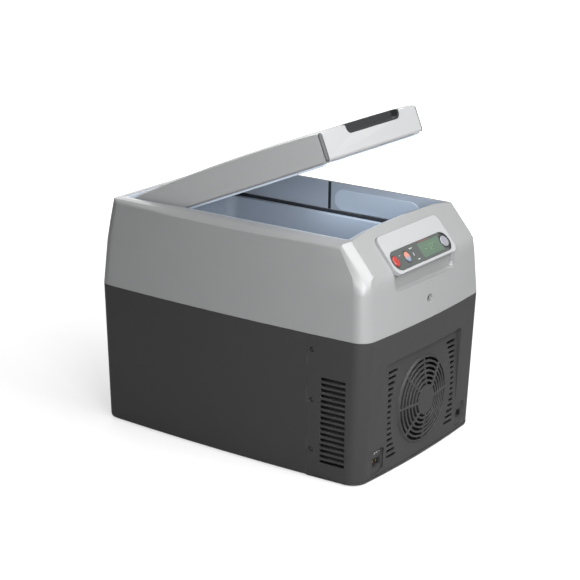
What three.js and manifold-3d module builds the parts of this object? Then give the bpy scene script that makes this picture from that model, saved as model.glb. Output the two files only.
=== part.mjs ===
// Portable thermoelectric cool box with a hinged inset lid, a sloped control panel
// and a ventilated technical compartment at one end.
// Millimetres. X runs along the length with the control panel at +X, Z is up,
// and the origin is at the middle of the footprint. The lid stands partly open.

import * as THREE from 'three';
import { mergeVertices } from 'three/addons/utils/BufferGeometryUtils.js';
import Module from 'manifold-3d';

const wasm = await Module();
wasm.setup();

// ---------------------------------------------------------------- driving sizes
const GAP = 0.3;
const WALL = 3;

const HALF_LENGTH = 225;
const HALF_WIDTH = 151.5;
const SIDE_BULGE = 5;
const CORNER_RADIUS = 22;

const CASE_BOTTOM = 2;
const SEAM_Z = 196;
const COVER_X = 134;
const FOOT_RADIUS = 13;

const PANEL_X = 215.6;
const PANEL_TOP = 157;
const FAN_Z = 81.6;
const GRILLE_RADIUS = 57;
const GRILLE_HUB_RADIUS = 20.3;
const GRILLE_RINGS = 6;
const GRILLE_SLOT = 4;
const GRILLE_SPOKES = 8;
const SPOKE_WIDTH = 3;
const GRILLE_FACETS = 24;

const VENT_COUNT = 16;
const SIDE_VENT = { x0: 154, x1: 191, zTop: 139, pitch: 7.53, height: 4.6 };
const END_VENT = { outer: 84, innerEnd: 61.5, innerMid: 76, zTop: 140.5, pitch: 7.75, height: 4.4 };

const SCREW_X = 140.5;
const SCREW_ROWS = [176, 108, 40];
const SCREW_HEAD_RADIUS = 3.3;

const SLOPE_FOOT = new THREE.Vector3(219.5, 0, 272);
const SLOPE_UP = new THREE.Vector3(-39.5, 0, 46).normalize();
const SLOPE_OUT = new THREE.Vector3(46, 0, 39.5).normalize();

const POD = { y0: -81.5, y1: 67.5, s0: -2.5, s1: 53.5, low: -1.8, high: 4, radius: 10 };
const WINDOW = { y0: -78, y1: 62, s0: 1.5, s1: 29, low: 2.2, high: 3.4 };
const DIGITS = { y0: -9, y1: 42, s0: 12, s1: 26 };
const BUTTON_TRAVEL = 0.8;
const BUTTONS = [
  { name: 'power_button', y: -69, s: 15.3, halfY: 5.6, halfS: 7.6, slot: 'power' },
  { name: 'mode_button', y: -42, s: 15.3, halfY: 5.2, halfS: 7.4, slot: 'mode' },
  { name: 'set_button', y: 50, s: 15.3, halfY: 8, halfS: 8, slot: 'set' },
];

const MOUTH = { x0: -190.4, x1: 171.4, y: 117.8, radius: 6 };
const LEDGE_Z = 275;
const CABIN = { x0: -180, x1: 99.5, y: 105, floor: 26.5, radius: 14 };
const SHELF_Z = 267;
const SHELF_X = 147.5;
const SILL_X = 156;
const SILL_Z = 300;
const LINER_WALL = 2.6;

const HINGE_X = -182;
const HINGE_Z = 308;
const LID_OPEN_DEG = 22.8;
const LID_HALF_WIDTH = 114.4;
const LID_BOTTOM = 281;
const CORNER_STRIP = 4.4;
const LID_FRONT = 153.5;
const NOTCH = { y0: -57.5, y1: 69.5, depth: 14, floor: 306.2, radius: 9 };
const PIN_RADIUS = 3.5;

const PELTIER_Z = 89;

// ---------------------------------------------------------------- finishes
const FINISHES = {
  graphite: { color: 0x3e3d40, roughness: 0.62, metalness: 0 },
  silver: { color: 0xa9abae, roughness: 0.42, metalness: 0.1 },
  pale: { color: 0xd4d7d9, roughness: 0.4, metalness: 0.05 },
  white: { color: 0xe8eef2, roughness: 0.35, metalness: 0 },
  foam: { color: 0xe6dfb8, roughness: 0.9, metalness: 0 },
  rubber: { color: 0x1d1d1f, roughness: 0.8, metalness: 0 },
  grip: { color: 0x4a4c50, roughness: 0.7, metalness: 0 },
  smoke: { color: 0x4e5356, roughness: 0.12, metalness: 0 },
  digits: { color: 0x2fae5a, roughness: 0.3, metalness: 0 },
  board: { color: 0x1d5a35, roughness: 0.5, metalness: 0 },
  power: { color: 0xc4231c, roughness: 0.3, metalness: 0 },
  mode: { color: 0x9fb6cc, roughness: 0.3, metalness: 0 },
  set: { color: 0x8d9093, roughness: 0.35, metalness: 0 },
  steel: { color: 0x6f7175, roughness: 0.35, metalness: 1 },
  aluminium: { color: 0xb8bcc0, roughness: 0.4, metalness: 1 },
  brass: { color: 0xb99a52, roughness: 0.35, metalness: 1 },
  ceramic: { color: 0xe9e9e4, roughness: 0.5, metalness: 0 },
  black: { color: 0x141416, roughness: 0.5, metalness: 0 },
  lens: { color: 0xdcecff, roughness: 0.2, metalness: 0 },
};

// ---------------------------------------------------------------- solid helpers
function signedVolume(position, index) {
  const a = new THREE.Vector3();
  const b = new THREE.Vector3();
  const c = new THREE.Vector3();
  let total = 0;
  for (let i = 0; i < index.length; i += 3) {
    a.fromArray(position, index[i] * 3);
    b.fromArray(position, index[i + 1] * 3);
    c.fromArray(position, index[i + 2] * 3);
    total += a.dot(b.cross(c)) / 6;
  }
  return total;
}

function solidOf(geometry) {
  const plain = geometry.clone();
  plain.deleteAttribute('normal');
  plain.deleteAttribute('uv');
  const welded = mergeVertices(plain, 1e-4);
  const vertices = Float32Array.from(welded.attributes.position.array);
  const triangles = Uint32Array.from(welded.index.array);
  if (signedVolume(vertices, triangles) < 0) {
    triangles.reverse();
  }
  const mesh = new wasm.Mesh({ numProp: 3, vertProperties: vertices, triVerts: triangles });
  return new wasm.Manifold(mesh);
}

function joined(solids) {
  return solids.reduce((all, next) => all.add(next));
}

function cut(body, tools) {
  return tools.reduce((left, tool) => left.subtract(tool), body);
}

function box(x0, x1, y0, y1, z0, z1) {
  const geometry = new THREE.BoxGeometry(x1 - x0, y1 - y0, z1 - z0);
  geometry.translate((x0 + x1) / 2, (y0 + y1) / 2, (z0 + z1) / 2);
  return solidOf(geometry);
}

const PLANES = {
  x: new THREE.Matrix4().makeBasis(
    new THREE.Vector3(0, 1, 0),
    new THREE.Vector3(0, 0, 1),
    new THREE.Vector3(1, 0, 0),
  ),
  y: new THREE.Matrix4().makeBasis(
    new THREE.Vector3(1, 0, 0),
    new THREE.Vector3(0, 0, 1),
    new THREE.Vector3(0, -1, 0),
  ),
  z: new THREE.Matrix4(),
  slope: new THREE.Matrix4()
    .makeBasis(new THREE.Vector3(0, 1, 0), SLOPE_UP, SLOPE_OUT)
    .setPosition(SLOPE_FOOT),
};

// Extrudes an outline square to one of the planes above.
function prism(shape, plane, from, to, curveSegments = 4) {
  const options = { depth: to - from, bevelEnabled: false, curveSegments };
  const geometry = new THREE.ExtrudeGeometry(shape, options);
  geometry.translate(0, 0, plane === 'y' ? -to : from);
  geometry.applyMatrix4(PLANES[plane]);
  return solidOf(geometry);
}

function polygon(points) {
  return new THREE.Shape(points.map(([u, v]) => new THREE.Vector2(u, v)));
}

function roundedRect(u0, u1, v0, v1, r) {
  const shape = new THREE.Shape();
  shape.moveTo(u0 + r, v0);
  shape.lineTo(u1 - r, v0);
  shape.absarc(u1 - r, v0 + r, r, -Math.PI / 2, 0);
  shape.lineTo(u1, v1 - r);
  shape.absarc(u1 - r, v1 - r, r, 0, Math.PI / 2);
  shape.lineTo(u0 + r, v1);
  shape.absarc(u0 + r, v1 - r, r, Math.PI / 2, Math.PI);
  shape.lineTo(u0, v0 + r);
  shape.absarc(u0 + r, v0 + r, r, Math.PI, 1.5 * Math.PI);
  return shape;
}

function ellipse(u, v, halfU, halfV) {
  const shape = new THREE.Shape();
  shape.absellipse(u, v, halfU, halfV, 0, 2 * Math.PI);
  return shape;
}

// Solid of revolution about an axis parallel to X, Y or Z through a point.
function turned(profile, axis, position, segments = 20) {
  const points = profile.map(([r, t]) => new THREE.Vector2(r, t));
  const geometry = new THREE.LatheGeometry(points, segments);
  if (axis === 'x') {
    geometry.rotateZ(-Math.PI / 2);
  }
  if (axis === 'z') {
    geometry.rotateX(Math.PI / 2);
  }
  geometry.translate(...position);
  return solidOf(geometry);
}

function rod(radius, axis, from, to, position, segments = 16) {
  return turned([[0, from], [radius, from], [radius, to], [0, to]], axis, position, segments);
}

// Plan outline of the case: a rounded rectangle with gently bowed sides.
function caseOutline() {
  const hx = HALF_LENGTH - SIDE_BULGE;
  const hy = HALF_WIDTH - SIDE_BULGE;
  const r = CORNER_RADIUS;
  const shape = new THREE.Shape();
  shape.moveTo(hx, -hy + r);
  shape.quadraticCurveTo(hx + 2 * SIDE_BULGE, 0, hx, hy - r);
  shape.absarc(hx - r, hy - r, r, 0, Math.PI / 2);
  shape.quadraticCurveTo(0, hy + 2 * SIDE_BULGE, -hx + r, hy);
  shape.absarc(-hx + r, hy - r, r, Math.PI / 2, Math.PI);
  shape.quadraticCurveTo(-hx - 2 * SIDE_BULGE, 0, -hx, -hy + r);
  shape.absarc(-hx + r, -hy + r, r, Math.PI, 1.5 * Math.PI);
  shape.quadraticCurveTo(0, -hy - 2 * SIDE_BULGE, hx - r, -hy);
  shape.absarc(hx - r, -hy + r, r, 1.5 * Math.PI, 2 * Math.PI);
  return shape;
}

// Stacks the case outline through levels of [z, half length, half width].
function stacked(levels, inset = 0) {
  const steps = levels.length - 1;
  const options = { depth: steps, steps, bevelEnabled: false, curveSegments: 6 };
  const geometry = new THREE.ExtrudeGeometry(caseOutline(), options);
  const position = geometry.attributes.position;
  for (let i = 0; i < position.count; i += 1) {
    const [z, halfX, halfY] = levels[Math.round(position.getZ(i))];
    position.setX(i, position.getX(i) * (halfX - inset) / HALF_LENGTH);
    position.setY(i, position.getY(i) * (halfY - inset) / HALF_WIDTH);
    position.setZ(i, z);
  }
  return solidOf(geometry);
}

// ---------------------------------------------------------------- group
const cooler = new THREE.Group();
cooler.name = 'cool_box';

function addPiece(name, solid, finish, matrix = new THREE.Matrix4()) {
  const mesh = solid.getMesh();
  const indexed = new THREE.BufferGeometry();
  indexed.setAttribute('position', new THREE.BufferAttribute(mesh.vertProperties, 3));
  indexed.setIndex(new THREE.BufferAttribute(mesh.triVerts, 1));
  indexed.applyMatrix4(matrix);
  const geometry = indexed.toNonIndexed();
  geometry.computeVertexNormals();
  const node = new THREE.Mesh(geometry, new THREE.MeshStandardMaterial(FINISHES[finish]));
  node.name = name;
  node.material.name = finish;
  cooler.add(node);
}

// ---------------------------------------------------------------- lower case
const LOWER_LEVELS = [
  [CASE_BOTTOM, 214.1, 149.2],
  [CASE_BOTTOM + 1.2, 215.8, 150.9],
  [CASE_BOTTOM + 4, 216.5, HALF_WIDTH],
  [SEAM_Z, HALF_LENGTH, HALF_WIDTH],
];
const LOWER_HOLLOW_LEVELS = [
  [CASE_BOTTOM + WALL, 216.4, HALF_WIDTH],
  [SEAM_Z + 10, HALF_LENGTH + 0.46, HALF_WIDTH],
];

const lowerOuter = stacked(LOWER_LEVELS);
const lowerHollow = stacked(LOWER_HOLLOW_LEVELS, WALL);
const sinkWindow = box(120, 140, -52, 52, PELTIER_Z - 56, PELTIER_Z + 56);

const caseShell = lowerOuter
  .intersect(box(-240, COVER_X - GAP / 2, -170, 170, 0, SEAM_Z))
  .subtract(lowerHollow.intersect(box(-240, COVER_X - WALL, -170, 170, 0, 220)))
  .subtract(sinkWindow);
addPiece('lower_case', caseShell, 'graphite');

for (const [index, [x, y]] of [[-175, -115], [-175, 115], [175, -115], [175, 115]].entries()) {
  const foot = turned(
    [[0, 0], [FOOT_RADIUS - 1, 0], [FOOT_RADIUS, 0.8], [FOOT_RADIUS, 1.7], [0, 1.7]],
    'z',
    [x, y, 0],
  );
  addPiece(`foot_${index + 1}`, foot, 'rubber');
}

// ---------------------------------------------------------------- technical cover
function sideVents() {
  const slots = [];
  for (let row = 0; row < VENT_COUNT; row += 1) {
    const z = SIDE_VENT.zTop - row * SIDE_VENT.pitch;
    const half = SIDE_VENT.height / 2;
    slots.push(box(SIDE_VENT.x0, SIDE_VENT.x1, -160, 160, z - half, z + half));
  }
  return slots;
}

function endVents() {
  const slots = [];
  const middle = (VENT_COUNT - 1) / 2;
  for (let row = 0; row < VENT_COUNT; row += 1) {
    const z = END_VENT.zTop - row * END_VENT.pitch;
    const away = (row - middle) / middle;
    const inner = END_VENT.innerMid - (END_VENT.innerMid - END_VENT.innerEnd) * away * away;
    const half = END_VENT.height / 2;
    slots.push(box(205, 230, inner, END_VENT.outer, z - half, z + half));
    slots.push(box(205, 230, -END_VENT.outer, -inner, z - half, z + half));
  }
  return slots;
}

function arcPoints(radius, start, end, margin, facet) {
  const points = [[radius, start + margin]];
  for (let angle = start + facet; angle < end - 1e-6; angle += facet) {
    points.push([radius, angle]);
  }
  points.push([radius, end - margin]);
  return points;
}

function grilleSlots() {
  const slots = [];
  const sector = (2 * Math.PI) / GRILLE_SPOKES;
  const facet = (2 * Math.PI) / GRILLE_FACETS;
  const pitch = (GRILLE_RADIUS - GRILLE_HUB_RADIUS - GRILLE_SLOT) / (GRILLE_RINGS - 1);
  for (let ring = 0; ring < GRILLE_RINGS; ring += 1) {
    const outer = GRILLE_RADIUS - ring * pitch;
    const inner = outer - GRILLE_SLOT;
    for (let spoke = 0; spoke < GRILLE_SPOKES; spoke += 1) {
      const start = spoke * sector;
      const outerArc = arcPoints(outer, start, start + sector, SPOKE_WIDTH / 2 / outer, facet);
      const innerArc = arcPoints(inner, start, start + sector, SPOKE_WIDTH / 2 / inner, facet);
      const outline = [...outerArc, ...innerArc.reverse()];
      const points = outline.map(([r, a]) => [r * Math.cos(a), FAN_Z + r * Math.sin(a)]);
      slots.push(prism(polygon(points), 'x', 205, 230));
    }
  }
  return slots;
}

function coverScrewPockets() {
  const tools = [];
  for (const side of [-1, 1]) {
    for (const z of SCREW_ROWS) {
      tools.push(rod(SCREW_HEAD_RADIUS + 0.4, 'y', 146.9, 156, [SCREW_X, 0, z], 16));
      tools.push(rod(1.8, 'y', 140, 156, [SCREW_X, 0, z], 12));
      if (side < 0) {
        tools.push(rod(SCREW_HEAD_RADIUS + 0.4, 'y', -156, -146.9, [SCREW_X, 0, z], 16));
        tools.push(rod(1.8, 'y', -156, -140, [SCREW_X, 0, z], 12));
      }
    }
  }
  return tools;
}

const grilleDome = turned(
  [
    [0, 220.8],
    [GRILLE_HUB_RADIUS, 220.8],
    [GRILLE_RADIUS, 215.6],
    [GRILLE_RADIUS + 1, 212.8],
    [GRILLE_RADIUS + 3.4, 212.8],
    [GRILLE_RADIUS + 3.4, 216.4],
    [GRILLE_RADIUS + 1, 218],
    [GRILLE_HUB_RADIUS, 223.2],
    [0, 223.2],
  ],
  'x',
  [0, 0, FAN_Z],
  GRILLE_FACETS,
);
const grilleHole = rod(GRILLE_RADIUS + 2.4, 'x', 205, 240, [0, 0, FAN_Z], GRILLE_FACETS);
const panelRecess = prism(roundedRect(-97, 92, -30, PANEL_TOP, 6), 'x', PANEL_X, 240, 3);
const dcPocket = prism(roundedRect(-122, -90, 9, 43, 5), 'x', 212, 240, 3);
const acPocket = prism(roundedRect(94, 119, 9, 43, 5), 'x', 212, 240, 3);

const techHollow = cut(lowerHollow.intersect(box(120, PANEL_X - WALL, -170, 170, 0, 220)), [
  box(208.6, 240, -126, -86, 0, 47),
  box(208.6, 240, 90, 126, 0, 47),
]);
const DC = { y: -103, z: 25, halfY: 10, halfZ: 6.5 };
const AC = { y: 106.5, z: 26, halfY: 7, halfZ: 6.5 };
const socketHoles = [DC, AC].map((socket) => box(
  200,
  240,
  socket.y - socket.halfY,
  socket.y + socket.halfY,
  socket.z - socket.halfZ,
  socket.z + socket.halfZ,
));

const coverBody = cut(
  lowerOuter.intersect(box(COVER_X + GAP / 2, 240, -170, 170, CASE_BOTTOM + 3.2, SEAM_Z)),
  [techHollow, panelRecess, dcPocket, acPocket, grilleHole],
);
const coverShell = cut(coverBody.add(grilleDome), [
  ...grilleSlots(),
  ...sideVents(),
  ...endVents(),
  ...socketHoles,
  ...coverScrewPockets(),
]);
addPiece('technical_cover', coverShell, 'graphite');

const basePlate = stacked([[CASE_BOTTOM, 216.3, 150.6], [CASE_BOTTOM + 2.9, 217.1, 151.2]])
  .intersect(box(COVER_X + GAP / 2, 240, -170, 170, 0, 20));
addPiece('base_plate', basePlate, 'silver');

let screwCount = 0;
for (const side of [-1, 1]) {
  for (const z of SCREW_ROWS) {
    screwCount += 1;
    const head = turned(
      [[0, 141], [1.6, 141], [1.6, 147.1], [SCREW_HEAD_RADIUS, 147.1], [SCREW_HEAD_RADIUS, 148.3],
        [2.4, 149], [0, 149]],
      'y',
      [0, 0, 0],
      12,
    );
    const turn = side > 0 ? 0 : Math.PI;
    const matrix = new THREE.Matrix4().makeRotationZ(turn).setPosition(SCREW_X, 0, z);
    addPiece(`cover_screw_${screwCount}`, head, 'steel', matrix);
  }
}

// ---------------------------------------------------------------- sockets
function socketBody({ y, z, halfY, halfZ }, depth) {
  const body = box(194, 211.6, y - halfY + 0.3, y + halfY - 0.3, z - halfZ + 0.3, z + halfZ - 0.3);
  const cavity = prism(
    roundedRect(y - halfY + 1.8, y + halfY - 1.8, z - halfZ + 1.8, z + halfZ - 1.8, 1.6),
    'x',
    211.6 - depth,
    215,
    2,
  );
  return body.subtract(cavity);
}

addPiece('dc_socket', socketBody(DC, 12), 'black');
addPiece('ac_socket', socketBody(AC, 12), 'black');
for (const [index, offset] of [-3.6, 3.6].entries()) {
  const dcPin = rod(1.3, 'x', 199.9, 209, [0, DC.y + offset, DC.z], 12);
  addPiece(`dc_pin_${index + 1}`, dcPin, 'brass');
  const acPin = rod(1, 'x', 199.9, 208, [0, AC.y + offset * 0.6, AC.z], 12);
  addPiece(`ac_pin_${index + 1}`, acPin, 'brass');
}

// ---------------------------------------------------------------- upper shell
const UPPER_LEVELS = [
  [SEAM_Z + GAP, HALF_LENGTH, HALF_WIDTH],
  [257, 220.6, 147.2],
  [286, 217, 143.6],
  [309, 213.8, 140.3],
  [331, 210.3, 136.6],
];
const CROWN_SIDE = [
  [-240, 0], [240, 0], [240, 248.13], [219.5, 272], [180, 318], [173.65, 325.4],
  [100, 322.4], [0, 320], [-100, 318.5], [-192, 317], [-202, 315.8], [-209.5, 313],
  [-214, 309.2], [-217.5, 303], [-240, 275],
];
const CROWN_SIDE_HOLLOW = [
  [-240, 0], [240, 0], [240, 243.2], [173.2, 321], [100, 319], [0, 316.6],
  [-100, 315.2], [-190, 313.8], [-200, 312.6], [-207, 309.6], [-211.5, 305], [-240, 280],
];
const CROWN_END = [
  [-160, 0], [160, 0], [160, 290], [143.5, 304], [141, 308.3], [137, 312.6], [131.5, 315.8],
  [124, 317.7], [118, 319], [86, 322.6], [0, 325.6], [-86, 322.6], [-118, 319], [-124, 317.7],
  [-131.5, 315.8], [-137, 312.6], [-141, 308.3], [-143.5, 304], [-160, 290],
];
const CROWN_END_HOLLOW = [
  [-160, 0], [160, 0], [160, 285], [138.6, 305.4], [134.5, 310], [129, 312.8], [122, 314.5],
  [86, 319], [0, 322], [-86, 319], [-122, 314.5], [-129, 312.8], [-134.5, 310], [-138.6, 305.4],
  [-160, 285],
];

function crown(side, end, drop = 0) {
  const along = prism(polygon(side.map(([x, z]) => [x, z - drop])), 'y', -165, 165);
  const across = prism(polygon(end.map(([y, z]) => [y, z - drop])), 'x', -245, 245);
  return along.intersect(across);
}

function mouth(margin, z0, z1, x1 = MOUTH.x1) {
  const outline = roundedRect(
    MOUTH.x0 - margin,
    x1 + margin,
    -MOUTH.y - margin,
    MOUTH.y + margin,
    MOUTH.radius + margin,
  );
  return prism(outline, 'z', z0, z1, 3);
}

// Shallow finger recess under the control pod.
const fingerRecess = prism(roundedRect(-79, 69, 248, 305, 8), 'x', 210.5, 240, 3)
  .intersect(prism(roundedRect(-90, 90, -60, 1.2, 1), 'slope', -30, 60, 2));
const recessBacking = box(206.8, 240, -83, 73, 244.5, 273);
const shellScrewPocket = rod(6, 'x', 216.5, 240, [0, 0, 222], 24);
const shellScrewShank = rod(2.2, 'x', 205, 240, [0, 0, 222], 12);
const shellScrewBoss = rod(9, 'x', 211, 240, [0, 0, 222], 16);

// Eases the long edges of the sloped face; outline in width and height over the slope.
const SLOPE_EASING = [
  [-160, -700], [160, -700], [160, -80], [147.4, -38], [141.5, -18.5], [133.5, -8], [122, -1.2],
  [112, 90], [-112, 90], [-122, -1.2], [-133.5, -8], [-141.5, -18.5], [-147.4, -38], [-160, -80],
];

function slopeEasing(inset) {
  const outline = SLOPE_EASING.map(([y, w]) => [y - Math.sign(y) * inset, w - inset]);
  const options = { depth: 1400, bevelEnabled: false };
  const geometry = new THREE.ExtrudeGeometry(polygon(outline), options);
  geometry.translate(0, 0, -700);
  geometry.applyMatrix4(new THREE.Matrix4()
    .makeBasis(new THREE.Vector3(0, 1, 0), SLOPE_OUT, SLOPE_UP.clone().negate())
    .setPosition(SLOPE_FOOT));
  return solidOf(geometry);
}

const upperHollow = cut(
  stacked(UPPER_LEVELS, WALL).add(stacked([[185, 222, 148.5], [199, 222, 148.5]]))
    .intersect(crown(CROWN_SIDE_HOLLOW, CROWN_END_HOLLOW))
    .intersect(slopeEasing(WALL)),
  [recessBacking, shellScrewBoss],
);
const podPocket = prism(
  roundedRect(POD.y0 - 0.5, POD.y1 + 0.5, POD.s0 - 6, POD.s1 + 0.5, POD.radius),
  'slope',
  POD.low - 0.3,
  40,
  4,
);
const podWindow = prism(roundedRect(-77, 61, 4.5, 27.5, 4), 'slope', -12, 10, 2);

const upperShell = cut(
  stacked(UPPER_LEVELS).intersect(crown(CROWN_SIDE, CROWN_END)).intersect(slopeEasing(0)),
  [
    upperHollow,
    mouth(LINER_WALL + 0.5, 285, 345),
    fingerRecess,
    podPocket,
    podWindow,
    shellScrewPocket,
    shellScrewShank,
  ],
);
addPiece('upper_shell', upperShell, 'silver');

const shellScrew = cut(
  turned([[0, 207], [2, 207], [2, 216.9], [4.6, 216.9], [4.6, 218.6], [3.4, 219.4], [0, 219.4]],
    'x', [0, 0, 222], 20),
  [box(218.2, 222, -2.6, 2.6, 221.4, 222.6), box(218.2, 222, -0.6, 0.6, 219.4, 224.6)],
);
addPiece('shell_screw', shellScrew, 'steel');

// ---------------------------------------------------------------- inner liner
function cabin(margin, z0, z1, x1 = CABIN.x1) {
  const outline = roundedRect(
    CABIN.x0 - margin,
    x1 + margin,
    -CABIN.y - margin,
    CABIN.y + margin,
    CABIN.radius + margin,
  );
  return prism(outline, 'z', z0, z1, 3);
}

const linerOuter = joined([
  mouth(LINER_WALL, SILL_Z - LINER_WALL, 345),
  mouth(LINER_WALL, LEDGE_Z - LINER_WALL, 302, SILL_X),
  cabin(LINER_WALL, SHELF_Z - LINER_WALL, LEDGE_Z - 1, SHELF_X),
  cabin(LINER_WALL, CABIN.floor - LINER_WALL, LEDGE_Z - 1),
]);
const linerHollow = joined([
  mouth(0, SILL_Z, 350),
  mouth(0, LEDGE_Z, SILL_Z + 1, SILL_X),
  cabin(0, SHELF_Z, LEDGE_Z + 1, SHELF_X),
  cabin(0, CABIN.floor, LEDGE_Z + 1),
]);
const sealGroove = prism(roundedRect(-189.2, 155, -116.8, 116.8, 6), 'z', LEDGE_Z - 1, LEDGE_Z + 1, 3)
  .subtract(prism(roundedRect(-185, 151, -112.6, 112.6, 4), 'z', LEDGE_Z - 2, LEDGE_Z + 2, 3));
const coldHole = box(90, 110, -18.5, 18.5, PELTIER_Z - 18.5, PELTIER_Z + 18.5);
const dividerGroove = box(-17.5, -13, MOUTH.y - 1, MOUTH.y + 1.1, LEDGE_Z + 4, 335);
const linerPinHoles = [
  rod(PIN_RADIUS + 0.3, 'y', 117, 122, [HINGE_X, 0, HINGE_Z], 16),
  rod(PIN_RADIUS + 0.3, 'y', -122, -117, [HINGE_X, 0, HINGE_Z], 16),
];
const liner = cut(linerOuter, [linerHollow, sealGroove, coldHole, dividerGroove, ...linerPinHoles])
  .intersect(crown(CROWN_SIDE, CROWN_END, 0.7));
addPiece('inner_liner', liner, 'white');

const ledgeSeal = prism(
  roundedRect(-189, 154.8, -116.6, 116.6, 5.8), 'z', LEDGE_Z - 0.8, LEDGE_Z + 4, 3,
).subtract(prism(roundedRect(-185.2, 151.2, -112.8, 112.8, 4.2), 'z', 265, 285, 3));
addPiece('ledge_seal', ledgeSeal, 'rubber');

const foamOuter = joined([
  lowerHollow.intersect(box(-240, COVER_X - WALL - GAP, -170, 170, 0, SEAM_Z + 1)),
  stacked([[SEAM_Z + 0.5, 221.4, 147.8], [261, 218.2, 144.9]], 0)
    .intersect(box(-240, 205, -170, 170, 0, 265)),
]);
const foamMargin = LINER_WALL + GAP;
const foam = cut(stacked([[CASE_BOTTOM + WALL + GAP, 212.6, 147.9], [SEAM_Z + 1, 220.6, 147.2],
  [261, 216.6, 143.2]])
  .intersect(foamOuter), [
  box(COVER_X - WALL - GAP, 240, -170, 170, 0, 210),
  cabin(foamMargin, CABIN.floor - foamMargin, 300),
  cabin(foamMargin, SHELF_Z - foamMargin, 300, SHELF_X),
  box(95, 140, -24, 24, PELTIER_Z - 24, PELTIER_Z + 24),
]);
addPiece('case_foam', foam, 'foam');

// ---------------------------------------------------------------- lamp
const LAMP = { x0: -6, x1: 134, z0: 280, z1: 310 };
const lens = prism(roundedRect(LAMP.x0, LAMP.x1, LAMP.z0, LAMP.z1, 14.5), 'y', 116.2, 117.5, 5);
addPiece('lamp_lens', lens, 'lens');
addPiece('lamp_board', box(20, 110, 120.8, 122.3, 286, 304), 'board');

// ---------------------------------------------------------------- control pod
function podPrism(shape, low, high, curveSegments = 4) {
  return prism(shape, 'slope', low, high, curveSegments);
}

const podSlab = podPrism(roundedRect(POD.y0, POD.y1, POD.s0, POD.s1, POD.radius), POD.low, POD.high);
const windowRadius = (WINDOW.s1 - WINDOW.s0) / 2 - 0.1;
const windowShape = roundedRect(WINDOW.y0, WINDOW.y1, WINDOW.s0, WINDOW.s1, windowRadius);
const windowPocket = podPrism(
  roundedRect(WINDOW.y0 - 0.3, WINDOW.y1 + 0.3, WINDOW.s0 - 0.3, WINDOW.s1 + 0.3, windowRadius),
  2,
  20,
);
const digitsHole = podPrism(
  roundedRect(DIGITS.y0 - 0.3, DIGITS.y1 + 0.3, DIGITS.s0 - 0.3, DIGITS.s1 + 0.3, 0.6), -5, 10, 2,
);
const stemHoles = BUTTONS.map(({ y, s }) => podPrism(ellipse(y, s, 2.3, 2.3), -5, 10, 4));
const capHoles = BUTTONS.map(({ y, s, halfY, halfS }) => (
  podPrism(ellipse(y, s, halfY + 0.35, halfS + 0.35), -5, 20, 8)
));

addPiece('control_pod', cut(podSlab, [windowPocket, digitsHole, ...stemHoles]), 'pale');
addPiece('display_window', cut(podPrism(windowShape, WINDOW.low, WINDOW.high), capHoles), 'smoke');
addPiece(
  'digit_display',
  podPrism(roundedRect(DIGITS.y0, DIGITS.y1, DIGITS.s0, DIGITS.s1, 0.5), -7, 1.8, 2),
  'digits',
);
addPiece('control_board', podPrism(roundedRect(-76, 60, 5.5, 27.5, 1), -9, -7.4, 2), 'board');

for (const { name, y, s, halfY, halfS, slot } of BUTTONS) {
  const base = 2 + BUTTON_TRAVEL + 0.1;
  const skirt = podPrism(ellipse(y, s, halfY, halfS), base, 4.4, 8);
  const face = podPrism(ellipse(y, s, halfY - 0.7, halfS - 0.7), 4, 4.9, 8);
  const stem = podPrism(ellipse(y, s, 2, 2), -6.4, base + 0.5, 4);
  addPiece(name, joined([skirt, face, stem]), slot);
}

// ---------------------------------------------------------------- heat pump
function finnedSink(x0, x1, xTip, half, z0, z1, count) {
  const parts = [box(x0, x1, -half, half, z0, z1)];
  const low = Math.min(x0 + 0.5, xTip);
  const high = Math.max(x1 - 0.5, xTip);
  for (let i = 0; i < count; i += 1) {
    const y = -half + 0.8 + (i * (2 * half - 1.6)) / (count - 1);
    parts.push(box(low, high, y - 0.8, y + 0.8, z0, z1));
  }
  return joined(parts);
}

addPiece(
  'hot_heatsink',
  finnedSink(131.2, 136.5, 172, 50, PELTIER_Z - 54, PELTIER_Z + 54, 13),
  'aluminium',
);
addPiece('peltier_module', box(126.2, 130.9, -20, 20, PELTIER_Z - 20, PELTIER_Z + 20), 'ceramic');
addPiece('cold_block', box(99, 125.9, -18, 18, PELTIER_Z - 18, PELTIER_Z + 18), 'aluminium');
addPiece(
  'cold_heatsink',
  finnedSink(94.6, 98.7, 80, 44, PELTIER_Z - 44, PELTIER_Z + 44, 11),
  'aluminium',
);

// ---------------------------------------------------------------- fans
function fanFrame(x0, x1, half, bore, hub, z) {
  const outline = roundedRect(-half, half, z - half, z + half, 5);
  const opening = new THREE.Path();
  opening.absarc(0, z, bore, 0, 2 * Math.PI);
  outline.holes.push(opening);
  const frame = prism(outline, 'x', x0, x1, 9);
  const cup = rod(hub, 'x', x0, x0 + 3, [0, 0, z], 20);
  const armA = box(x0, x0 + 2.4, -bore - 1, bore + 1, z - 2, z + 2);
  const armB = box(x0, x0 + 2.4, -2, 2, z - bore - 1, z + bore + 1);
  const screwHoles = [-1, 1].flatMap((sy) => [-1, 1].map((sz) => (
    rod(2, 'x', x0 - 1, x1 + 1, [0, sy * (half - 6), z + sz * (half - 6)], 8)
  )));
  return cut(joined([frame, cup, armA, armB]), screwHoles);
}

function fanRotor(x0, x1, radius, hub, blades, z) {
  const parts = [rod(hub, 'x', x0, x1, [0, 0, z], 20)];
  const chord = radius * 0.5;
  for (let i = 0; i < blades; i += 1) {
    const blade = new THREE.BoxGeometry(1.4, chord, radius - hub + 1.5);
    blade.rotateZ(0.62);
    blade.translate(0, 0, (radius + hub - 1.5) / 2);
    blade.rotateX((i * 2 * Math.PI) / blades);
    blade.translate((x0 + x1) / 2, 0, z);
    parts.push(solidOf(blade));
  }
  const sweep = rod(radius, 'x', x0, x1, [0, 0, z], 24);
  return joined(parts).intersect(sweep);
}

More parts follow.
